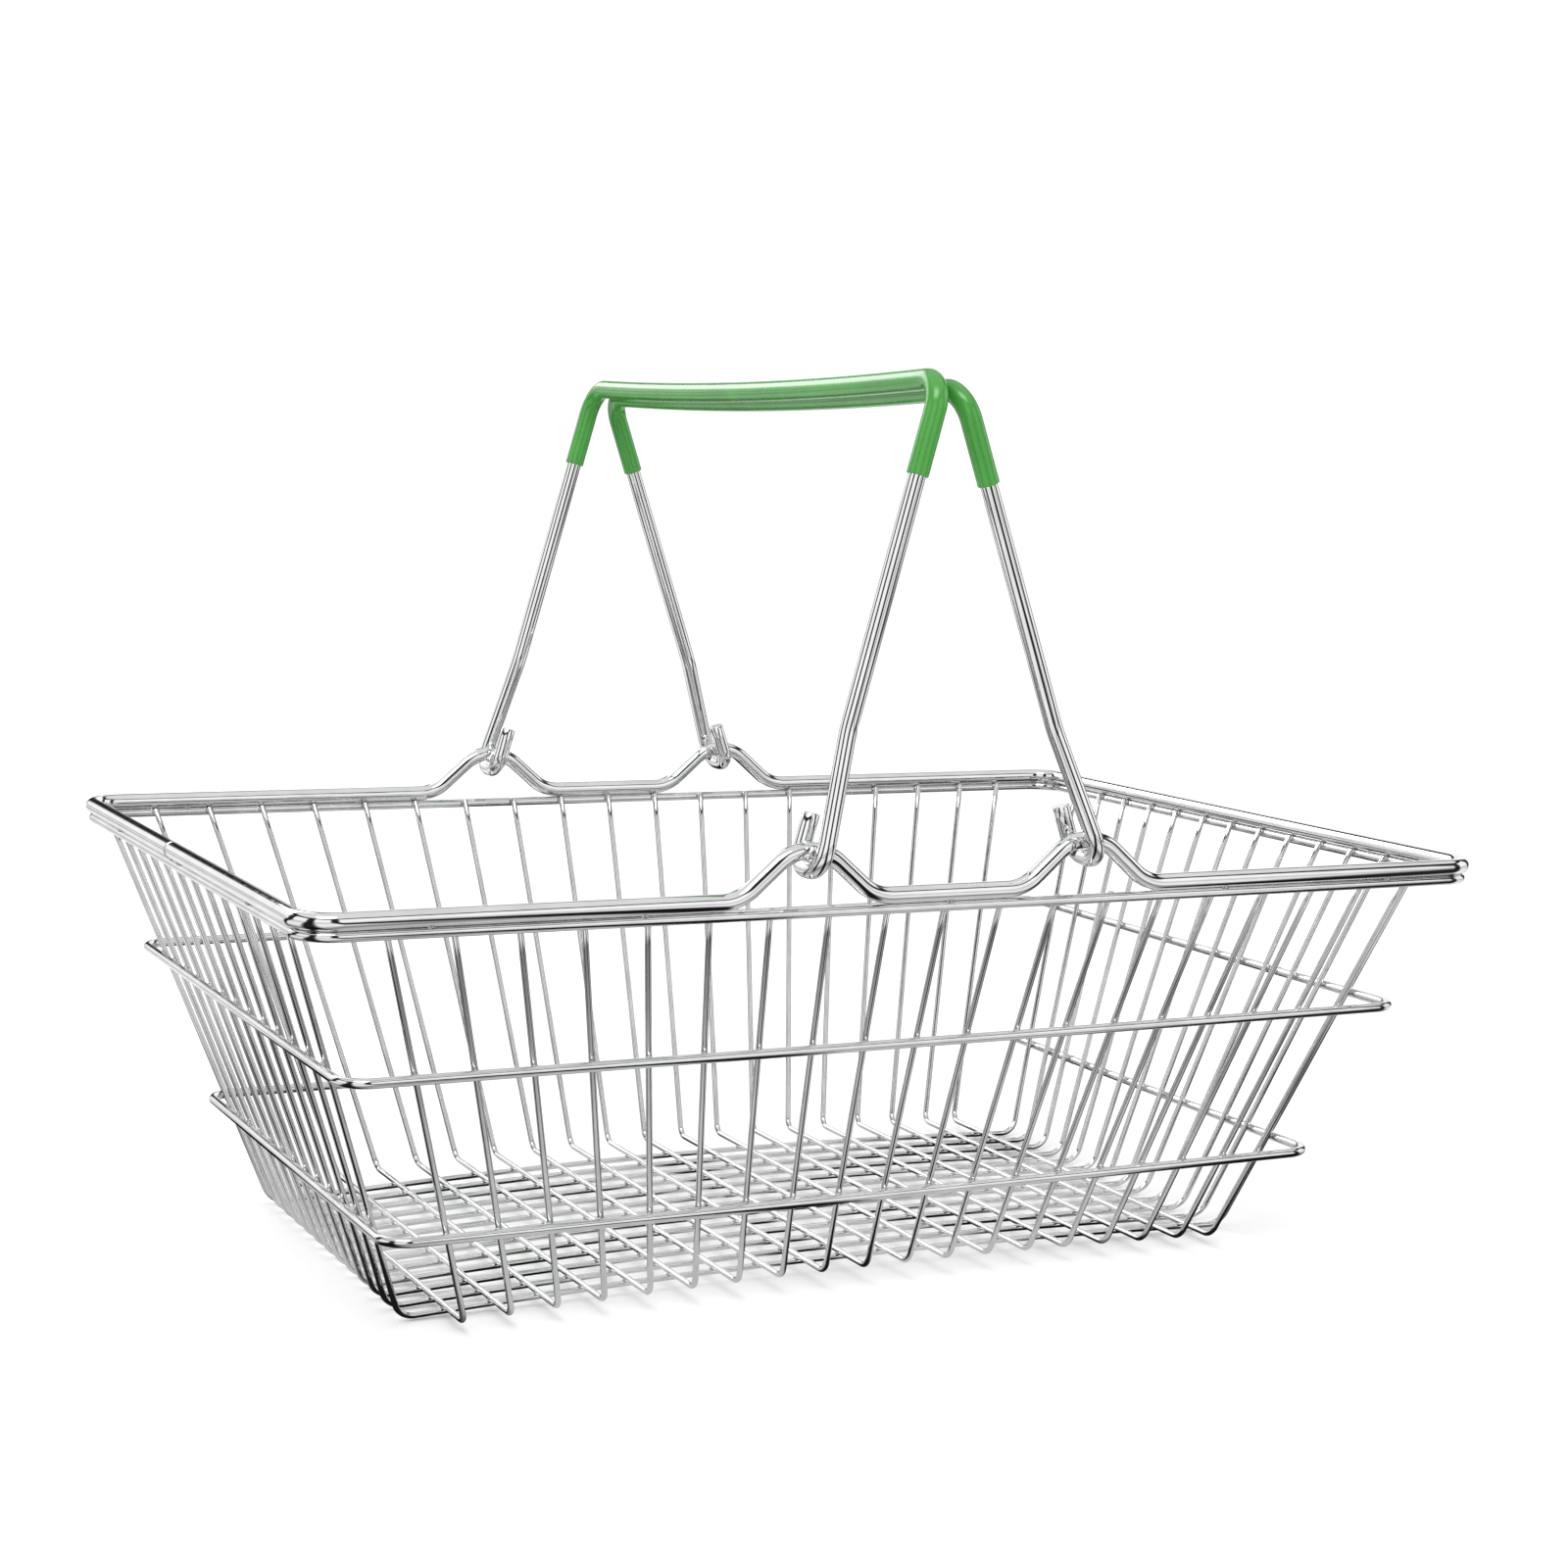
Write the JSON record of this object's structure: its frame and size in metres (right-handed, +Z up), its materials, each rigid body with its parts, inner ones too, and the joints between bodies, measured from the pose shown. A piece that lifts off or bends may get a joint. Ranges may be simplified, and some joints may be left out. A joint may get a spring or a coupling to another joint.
{
  "type": "wire shopping basket",
  "caption": "Chromed wire shopping basket with flared walls, humped heavy rim and two swinging handles with green vinyl grips that meet over the middle.",
  "frame": {"origin": "middle of the footprint, at the underside of the lowest base wires", "axes": "+X along the basket's length, +Y along its width, +Z up towards the grips"},
  "size_m": [0.456, 0.326, 0.3276],
  "materials": {
    "chrome_wire": "bright chrome plate",
    "grip_vinyl": "glossy dipped vinyl"
  },
  "bodies": {
    "basket": {"rim_wire": "chrome_wire", "upper_ring": "chrome_wire", "middle_ring": "chrome_wire", "low_ring": "chrome_wire", "cross_wire_01": "chrome_wire", "cross_wire_02": "chrome_wire", "cross_wire_03": "chrome_wire", "cross_wire_04": "chrome_wire", "cross_wire_05": "chrome_wire", "cross_wire_06": "chrome_wire", "cross_wire_07": "chrome_wire", "cross_wire_08": "chrome_wire", "cross_wire_09": "chrome_wire", "cross_wire_10": "chrome_wire", "cross_wire_11": "chrome_wire", "cross_wire_12": "chrome_wire", "cross_wire_13": "chrome_wire", "cross_wire_14": "chrome_wire", "cross_wire_15": "chrome_wire", "cross_wire_16": "chrome_wire", "cross_wire_17": "chrome_wire", "cross_wire_18": "chrome_wire", "cross_wire_19": "chrome_wire", "long_wire_01": "chrome_wire", "long_wire_02": "chrome_wire", "long_wire_03": "chrome_wire", "long_wire_04": "chrome_wire", "long_wire_05": "chrome_wire", "long_wire_06": "chrome_wire", "long_wire_07": "chrome_wire", "long_wire_08": "chrome_wire", "long_wire_09": "chrome_wire", "long_wire_10": "chrome_wire", "long_wire_11": "chrome_wire", "long_wire_12": "chrome_wire", "long_wire_13": "chrome_wire"},
    "handle_left": {"handle_wire_left": "chrome_wire", "grip_left": "grip_vinyl"},
    "handle_right": {"handle_wire_right": "chrome_wire", "grip_right": "grip_vinyl"}
  },
  "joints": [
    {"name": "handle_left_swing", "type": "hinge", "parent": "basket", "child": "handle_left", "pos_m": [-0.054, 0, 0.16225], "axis": [0, -1, 0], "range_deg": [0, 106]},
    {"name": "handle_right_swing", "type": "hinge", "parent": "basket", "child": "handle_right", "pos_m": [0.054, 0, 0.16225], "axis": [0, 1, 0], "range_deg": [0, 109.7]}
  ]
}
